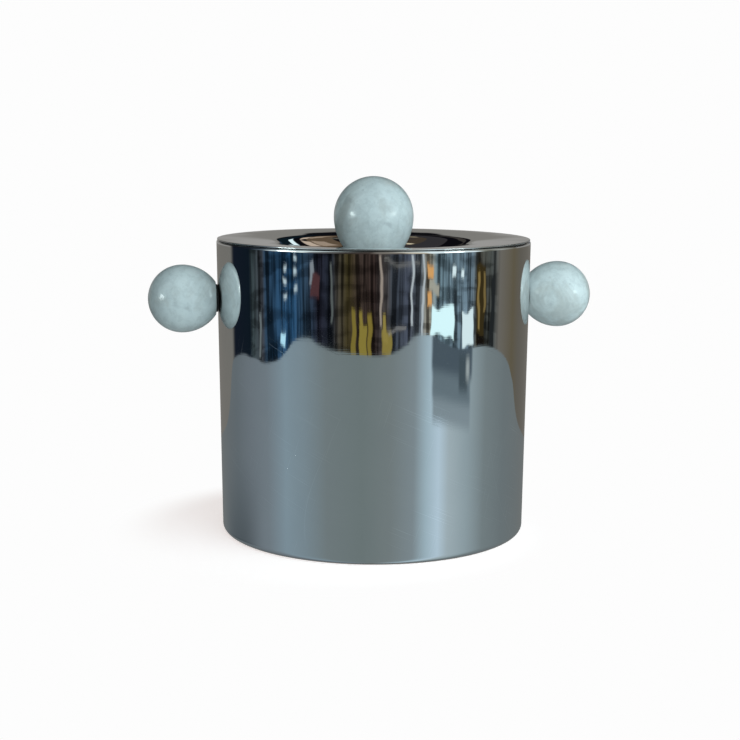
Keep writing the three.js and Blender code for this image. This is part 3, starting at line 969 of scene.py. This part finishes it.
# Just above the table: azimuth and colour
LOW_WALL = (
    (-180, (0.19, 0.18, 0.165)),
    (-126, (0.20, 0.195, 0.18)),
    (-122, (0.008, 0.012, 0.022)),
    (-101, (0.006, 0.012, 0.02)),
    (-98, (0.035, 0.05, 0.055)),
    (-87, (0.04, 0.045, 0.055)),
    (-84, (0.02, 0.045, 0.08)),
    (-60, (0.02, 0.07, 0.15)),
    (-50, (0.03, 0.06, 0.10)),
    (-40, (0.015, 0.016, 0.027)),
    (-30, (0.015, 0.02, 0.03)),
    (-25, (0.05, 0.045, 0.035)),
    (-18, (0.04, 0.032, 0.012)),
    (-10, (0.05, 0.036, 0.03)),
    (1, (0.03, 0.02, 0.018)),
    (9, (0.06, 0.055, 0.055)),
    (13, (0.04, 0.05, 0.065)),
    (24, (0.05, 0.06, 0.085)),
    (34, (0.10, 0.12, 0.14)),
    (40, (0.30, 0.28, 0.22)),
    (46, (0.13, 0.20, 0.24)),
    (74, (0.13, 0.19, 0.24)),
    (80, (0.06, 0.06, 0.05)),
    (91, (0.05, 0.055, 0.05)),
    (98, (0.07, 0.08, 0.08)),
    (104, (0.18, 0.17, 0.15)),
    (122, (0.14, 0.12, 0.08)),
    (134, (0.14, 0.13, 0.11)),
    (180, (0.19, 0.18, 0.165)),
)

# Higher up on the camera's side: azimuth and colour
HIGH_WALL = (
    (-180, (0.20, 0.195, 0.18)),
    (-132, (0.16, 0.155, 0.15)),
    (-122, (0.006, 0.008, 0.014)),
    (-100, (0.01, 0.015, 0.025)),
    (-86, (0.12, 0.16, 0.19)),
    (-78, (0.75, 0.86, 0.90)),
    (-52, (0.95, 1.1, 1.1)),
    (-46, (0.28, 0.31, 0.33)),
    (-34, (0.13, 0.13, 0.13)),
    (-20, (0.05, 0.045, 0.04)),
    (-3, (0.06, 0.045, 0.04)),
    (4, (0.20, 0.18, 0.16)),
    (20, (0.22, 0.20, 0.18)),
    (26, (0.60, 0.55, 0.45)),
    (38, (0.65, 0.60, 0.50)),
    (42, (0.95, 1.1, 1.15)),
    (78, (0.95, 1.1, 1.15)),
    (86, (0.30, 0.32, 0.28)),
    (92, (0.15, 0.15, 0.12)),
    (104, (0.40, 0.42, 0.40)),
    (124, (0.17, 0.16, 0.13)),
    (180, (0.20, 0.195, 0.18)),
)
HIGH_WALL_STEP = (-4.6, -3.6)
OVERHEAD_STEP = (70, 88)
OVERHEAD = (0.05, 0.048, 0.045)

# The low wall's upright streaks and its shelves: how they darken and brighten it
STREAK_LEVELS = (0.3, 1.5)
SHELF_LEVELS = (0.6, 1.2)
PLAIN_WALL_STEP = (96, 104)
SIDEWAYS_WOBBLE = 1.2
UPWARD_WOBBLE = 0.22

# The table's top: azimuth and colour
TABLE_COLOURS = (
    (-180, (0.17, 0.175, 0.17)),
    (-121, (0.15, 0.18, 0.20)),
    (-104, (0.18, 0.215, 0.245)),
    (-84, (0.205, 0.25, 0.285)),
    (-67, (0.26, 0.35, 0.41)),
    (-52, (0.24, 0.315, 0.36)),
    (-34, (0.205, 0.25, 0.262)),
    (-8, (0.19, 0.235, 0.238)),
    (13, (0.215, 0.257, 0.265)),
    (30, (0.26, 0.32, 0.35)),
    (40, (0.42, 0.56, 0.64)),
    (49, (0.56, 0.72, 0.84)),
    (57, (0.44, 0.54, 0.59)),
    (74, (0.34, 0.43, 0.47)),
    (91, (0.22, 0.27, 0.285)),
    (113, (0.18, 0.217, 0.23)),
    (180, (0.17, 0.175, 0.17)),
)

# Darker and lighter zones on the table and things on the walls: azimuth and elevation of
# the middle, half width, half height, colour
TABLE_CORNERS = ((-122, -20, 20, 5, (0.085, 0.105, 0.12)),)
TABLE_SHADES = (
    (60, -11.6, 16, 0.7, (0.26, 0.33, 0.37)),
    (59.5, -10.6, 16, 0.8, (0.16, 0.215, 0.25)),
    (60, -9.6, 17, 0.75, (0.085, 0.12, 0.15)),
    (69, -10.2, 4, 0.7, (0.07, 0.10, 0.12)),
    (73, -10.0, 1.5, 0.4, (0.40, 0.46, 0.47)),
)

# Where the table meets the wall: azimuth and elevation
TABLE_EDGE = (
    (-180, -11.5),
    (-146, -11.5),
    (-128, -9.5),
    (-121, -9.1),
    (-98, -9.4),
    (-78, -9.75),
    (-66, -9.5),
    (-51, -9.05),
    (-40, -9.35),
    (-20, -9.8),
    (4, -9.9),
    (13, -9.8),
    (23, -9.5),
    (37, -9.0),
    (60, -9.3),
    (98, -9.0),
    (125, -9.9),
    (146, -11.5),
    (180, -11.5),
)
TABLE_EDGE_LOW = -12
TABLE_EDGE_HIGH = -8.5
TABLE_EDGE_BLUR = 0.05

GLASS = (0.9, 1.1, 1.15)
BRIGHT_LINE = (0.55, 0.62, 0.66)
ORANGE = (0.85, 0.45, 0.16)
FAR_PALE = (0.33, 0.325, 0.315)
FAR_GREY = (0.225, 0.22, 0.205)
FAR_BLACK = (0.004, 0.004, 0.006)
FAR_WALL_STEP = (122, 128)
FAR_GREY_STEP = (3, 6.2)
CEILING_STEP = (11.1, 12.3)

# On the low wall
NEAR_THINGS = (
    (-90, -8.6, 1.2, 0.9, (0.16, 0.19, 0.2)),
    (-68, -8.9, 2.5, 0.22, (0.55, 0.95, 1.15)),
    (-45, -6.7, 1.2, 0.5, (0.26, 0.30, 0.34)),
    (-42, -7.2, 3, 0.45, (0.09, 0.04, 0.045)),
    (-30, -7.3, 0.7, 1.2, (0.12, 0.14, 0.14)),
    (-14, -9.2, 1.6, 0.9, (0.24, 0.19, 0.04)),
    (-7, -9.4, 3, 0.6, (0.30, 0.24, 0.05)),
    (-8, -8.8, 1.2, 0.6, (0.30, 0.24, 0.05)),
    (-2, -9.1, 1.3, 0.8, (0.26, 0.20, 0.04)),
    (9, -9.4, 3, 0.6, (0.30, 0.24, 0.06)),
    (8, -8.8, 1.2, 0.6, (0.34, 0.27, 0.07)),
    (5, -7.4, 0.8, 1.3, (0.40, 0.34, 0.29)),
    (20, -6.4, 12, 0.05, (0.26, 0.26, 0.25)),
    (16, -8.9, 6, 0.05, (0.3, 0.3, 0.3)),
    (27, -7.4, 0.8, 1.4, BRIGHT_LINE),
    (35.5, -7.6, 0.7, 1.8, BRIGHT_LINE),
    (40.5, -6.5, 2.2, 0.26, ORANGE),
    (40, -7.65, 1.6, 0.3, ORANGE),
    (44, -7.05, 4, 0.22, (0.45, 0.45, 0.38)),
    (59, -6.55, 1.6, 0.2, GLASS),
    (66, -6.4, 1.4, 0.16, GLASS),
    (51, -8.5, 9, 0.62, (0.9, 1.25, 1.3)),
    (72, -8.4, 5.5, 0.7, (0.85, 1.05, 1.1)),
    (84, -7.6, 4, 1.6, (0.045, 0.033, 0.012)),
    (82, -7.4, 0.9, 1.0, (0.28, 0.20, 0.07)),
    (87, -7.0, 0.8, 0.7, (0.22, 0.16, 0.06)),
    (84, -8.9, 4, 0.3, (0.01, 0.008, 0.006)),
    (96, -8.2, 1.8, 1.9, (0.02, 0.024, 0.026)),
)

# Two columns of small lights there
SMALL_LIGHTS = tuple(
    (azimuth, elevation, 1.3, 0.1, (0.62, 0.78, 0.85))
    for azimuth in (-67, -57)
    for elevation in (-6.1, -6.6, -7.2)
)

# On the far wall and its ceiling
FAR_THINGS = (
    (167, 9, 5, 5, (0.03, 0.05, 0.08)),
    (165, 24, 12, 10, (0.005, 0.012, 0.018)),
    (156, 29.5, 5, 2.8, GLASS),
    (145, 54, 20, 10, (0.135, 0.095, 0.062)),
    (150, 51.5, 9, 4.5, (0.40, 0.31, 0.235)),
    (152, 42.5, 7, 3, (0.62, 0.50, 0.40)),
    (-171, 22.5, 8, 4.5, (0.05, 0.046, 0.042)),
    (-150, 48, 24, 9, (0.038, 0.036, 0.040)),
    (-145, 62, 30, 6, (0.065, 0.05, 0.037)),
    (-152, 60, 2.5, 2.5, (0.8, 0.7, 0.5)),
)

# Small strong lights, mirrored in the stone
SPOTLIGHTS = (
    (-65, 7, 8, 5, (10, 11.5, 11.5)),
    (60, 8, 8, 5, (6, 7, 7)),
)

# Blur of the sides and of the ends, in degrees
TABLE_CORNER_BLUR = (16, 2.5)
TABLE_SHADE_BLUR = (1.3, 0.3)
NEAR_BLUR = (0.5, 0.06)
SMALL_LIGHT_BLUR = (0.9, 0.1)
FAR_BLUR = (1.5, 0.6)
SPOTLIGHT_BLUR = (1, 0.3)


def directions(graph, direction):
    """Azimuth and elevation of a direction, in degrees."""
    towards = (-math.sin(CAMERA_HEADING), -math.cos(CAMERA_HEADING), 0)
    rightwards = (math.cos(CAMERA_HEADING), -math.sin(CAMERA_HEADING), 0)
    turn = graph.math(
        "ARCTAN2",
        graph.vector("DOT_PRODUCT", direction, rightwards),
        graph.vector("DOT_PRODUCT", direction, towards),
    )
    rise = graph.math("ARCSINE", graph.vector("DOT_PRODUCT", direction, (0, 0, 1)))
    return graph.math("DEGREES", turn), graph.math("DEGREES", rise)


def share_of_turn(azimuth):
    return (azimuth + 180) / 360


def by_azimuth(graph, azimuth, colours):
    """The colours given for some azimuths, and mixtures of them between."""
    stops = [(share_of_turn(place), colour) for place, colour in colours]
    return graph.ramp(graph.span(azimuth, -180, 180, 0, 1), stops)


def with_things(graph, azimuth, elevation, wall, things, blur):
    """A wall with rectangles on it, their sides and ends a little soft."""
    side_blur, end_blur = blur
    for middle, height, half_width, half_height, colour in things:
        wide = graph.band(azimuth, middle - half_width, middle + half_width, side_blur)
        tall = graph.band(elevation, height - half_height, height + half_height, end_blur)
        wall = graph.mix(graph.times(wide, tall), wall, colour)
    return wall


def wobbled(graph, azimuth, elevation, cell):
    """Both angles shifted unevenly, so that straight outlines come out a little wavy."""
    sideways_shift = graph.noise(graph.stretched(cell, (0.07, 0.7, 1)), 1, 1)
    upward_shift = graph.noise(graph.stretched(cell, (0.08, 0.5, 5)), 1, 1)
    sideways_shift = graph.span(sideways_shift, 0.3, 0.7, -SIDEWAYS_WOBBLE, SIDEWAYS_WOBBLE)
    upward_shift = graph.span(upward_shift, 0.3, 0.7, -UPWARD_WOBBLE, UPWARD_WOBBLE)
    return graph.total(azimuth, sideways_shift), graph.total(elevation, upward_shift)


def near_wall(graph, azimuth, elevation, cell):
    """The low wall with its things, broken up by upright streaks and a few shelves."""
    streaks = graph.noise(graph.stretched(cell, (0.24, 0.14, 1)), 1, 3, 0.6)
    shelves = graph.noise(graph.stretched(cell, (0.045, 1.9, 1)), 1, 2, 0.5)
    uneven = graph.times(
        graph.span(graph.ease(streaks, 0.40, 0.60), 0, 1, *STREAK_LEVELS),
        graph.span(graph.ease(shelves, 0.44, 0.50), 0, 1, *SHELF_LEVELS),
    )
    plain = graph.ease(graph.math("ABSOLUTE", azimuth), *PLAIN_WALL_STEP)
    uneven = graph.total(uneven, graph.times(plain, graph.less(uneven)))
    wall = graph.brightened(by_azimuth(graph, azimuth, LOW_WALL), uneven)
    azimuth, elevation = wobbled(graph, azimuth, elevation, cell)
    wall = with_things(graph, azimuth, elevation, wall, NEAR_THINGS, NEAR_BLUR)
    return with_things(graph, azimuth, elevation, wall, SMALL_LIGHTS, SMALL_LIGHT_BLUR)


def far_wall(graph, azimuth, elevation):
    """A grey wall, pale at its foot, with a dark ceiling above it and what hangs there."""
    grey = graph.mix(graph.ease(elevation, *FAR_GREY_STEP), FAR_PALE, FAR_GREY)
    ceiling = graph.mix(graph.ease(elevation, *CEILING_STEP), grey, FAR_BLACK)
    return with_things(graph, azimuth, elevation, ceiling, FAR_THINGS, FAR_BLUR)


def table(graph, azimuth, elevation):
    """The table's top, with the shade below the window and a darker corner at the left."""
    top = by_azimuth(graph, azimuth, TABLE_COLOURS)
    top = with_things(graph, azimuth, elevation, top, TABLE_CORNERS, TABLE_CORNER_BLUR)
    return with_things(graph, azimuth, elevation, top, TABLE_SHADES, TABLE_SHADE_BLUR)


def table_edge(graph, azimuth):
    """Elevation of the table's far edge at an azimuth."""
    height = TABLE_EDGE_HIGH - TABLE_EDGE_LOW
    points = [
        (share_of_turn(place), (edge - TABLE_EDGE_LOW) / height) for place, edge in TABLE_EDGE
    ]
    share = graph.curve(graph.span(azimuth, -180, 180, 0, 1), points)
    return graph.span(share, 0, 1, TABLE_EDGE_LOW, TABLE_EDGE_HIGH)


def room(graph, direction):
    """A dim room with windows, above a grey table, as the steel mirrors it."""
    azimuth, elevation = directions(graph, direction)
    low = near_wall(graph, azimuth, elevation, graph.joined(azimuth, elevation))
    high = by_azimuth(graph, azimuth, HIGH_WALL)
    high = graph.mix(graph.ease(elevation, *OVERHEAD_STEP), high, OVERHEAD)
    up = graph.ease(elevation, *HIGH_WALL_STEP)
    near = graph.mix(up, low, high)
    far = far_wall(graph, azimuth, elevation)
    behind = graph.ease(graph.math("ABSOLUTE", azimuth), *FAR_WALL_STEP)
    wall = graph.mix(graph.times(behind, up), near, far)
    wall = with_things(graph, azimuth, elevation, wall, SPOTLIGHTS, SPOTLIGHT_BLUR)
    above_edge = graph.math("SUBTRACT", elevation, table_edge(graph, azimuth))
    below = graph.less(graph.ease(above_edge, -TABLE_EDGE_BLUR, TABLE_EDGE_BLUR))
    return graph.mix(below, wall, table(graph, azimuth, elevation))


# The soft light that stone, rubber and floor catch, and the white behind the object
LIGHT_FROM = Vector((0.485, -0.849, 0.208)).normalized()
LIGHT_STEP = (0.6, 1.0)  # cosines of the angle to it, where the dim light turns bright
LIGHT_DIM = (0.24, 0.29, 0.30)
LIGHT_BRIGHT = (2.13, 2.62, 2.78)
BACKDROP = (0.982,) * 3

# Metres: the floor takes shadows in a round patch, and runs into the backdrop outside it
FLOOR_HALF = 8
SHADOW_MIDDLE = (-0.024, -0.003, 0)
SHADOW_STEP = (0.087, 0.124)
FLOOR_SHADE = 0.9  # how much of the floor's brightness near the bucket is light it catches
FLOOR_CATCHES = (0.425, 0.519, 0.544)  # the soft light on an open floor


def make_world():
    """White behind the object, soft light from the right, and a room for reflections.

    The room is only what mirrors show: light that steel throws onto stone is the soft light.
    """
    world = bpy.data.worlds.new("studio")
    bpy.context.scene.world = world
    world.use_nodes = True
    world.cycles.sampling_method = "NONE"
    graph = Graph(world.node_tree)
    rays = graph.node("ShaderNodeLightPath")
    direction = graph.node("ShaderNodeTexCoord").outputs["Generated"]
    mirrored = room(graph, direction)
    facing = graph.vector("DOT_PRODUCT", direction, LIGHT_FROM)
    soft = graph.mix(graph.ease(facing, *LIGHT_STEP), LIGHT_DIM, LIGHT_BRIGHT)
    straight = graph.less(rays.outputs["Diffuse Depth"], clamp=True)
    seen = graph.times(rays.outputs["Is Glossy Ray"], straight)
    colour = graph.mix(seen, soft, mirrored)
    colour = graph.mix(rays.outputs["Is Camera Ray"], colour, BACKDROP)
    background = graph.node("ShaderNodeBackground")
    graph.put(colour, background.inputs["Color"])
    output = graph.node("ShaderNodeOutputWorld")
    graph.put(background.outputs[0], output.inputs["Surface"])


def make_floor():
    """A pale floor that runs off into the white backdrop and takes faint shadows."""
    mesh = bpy.data.meshes.new("floor")
    signs = ((-1, -1), (1, -1), (1, 1), (-1, 1))
    corners = [(FLOOR_HALF * x, FLOOR_HALF * y, 0) for x, y in signs]
    mesh.from_pydata(corners, [], [(0, 1, 2, 3)])
    floor = bpy.data.objects.new("floor", mesh)
    bpy.context.scene.collection.objects.link(floor)
    material, graph, shader, place = new_material("pale_floor")
    away = graph.vector("LENGTH", graph.vector("SUBTRACT", place, SHADOW_MIDDLE))
    grain = graph.span(graph.noise(place, 900, 2), 0.3, 0.7, 0.97, 1.03)
    shade = graph.times(graph.less(graph.ease(away, *SHADOW_STEP)), grain)
    shade = graph.times(shade, FLOOR_SHADE)
    graph.put(graph.mix(shade, (0, 0, 0), (1, 1, 1)), shader.inputs["Base Color"])
    caught = graph.mix(shade, (0, 0, 0), FLOOR_CATCHES)
    glow = graph.vector("SUBTRACT", BACKDROP, caught)
    graph.put(glow, shader.inputs["Emission Color"])
    shader.inputs["Emission Strength"].default_value = 1
    shader.inputs["Roughness"].default_value = 1
    shader.inputs["Specular IOR Level"].default_value = 0
    mesh.materials.append(material)
    floor.visible_glossy = False
    floor.visible_diffuse = False


def make_camera():
    camera = bpy.data.objects.new("camera", bpy.data.cameras.new("camera"))
    bpy.context.scene.collection.objects.link(camera)
    camera.data.lens = CAMERA_LENS
    camera.data.sensor_width = CAMERA_SENSOR
    camera.location = CAMERA_PLACE
    turn = (
        Matrix.Rotation(-CAMERA_HEADING, 3, "Z")
        @ Matrix.Rotation(math.pi / 2 + CAMERA_TILT, 3, "X")
        @ Matrix.Rotation(CAMERA_ROLL, 3, "Z")
    )
    camera.rotation_euler = turn.to_euler()
    bpy.context.scene.camera = camera


make_camera()
make_floor()
make_world()
bpy.context.scene.view_settings.view_transform = "Standard"

outer_shell()
inner_liner()
base_plate()
lid_top()
lid_pan()
knob_ball()
knob_collar()
knob_washer()
knob_lock_washer()
knob_screw()
for side in ("right", "left"):
    handle_ball(side)
    handle_collar(side)
dress_carried_over()
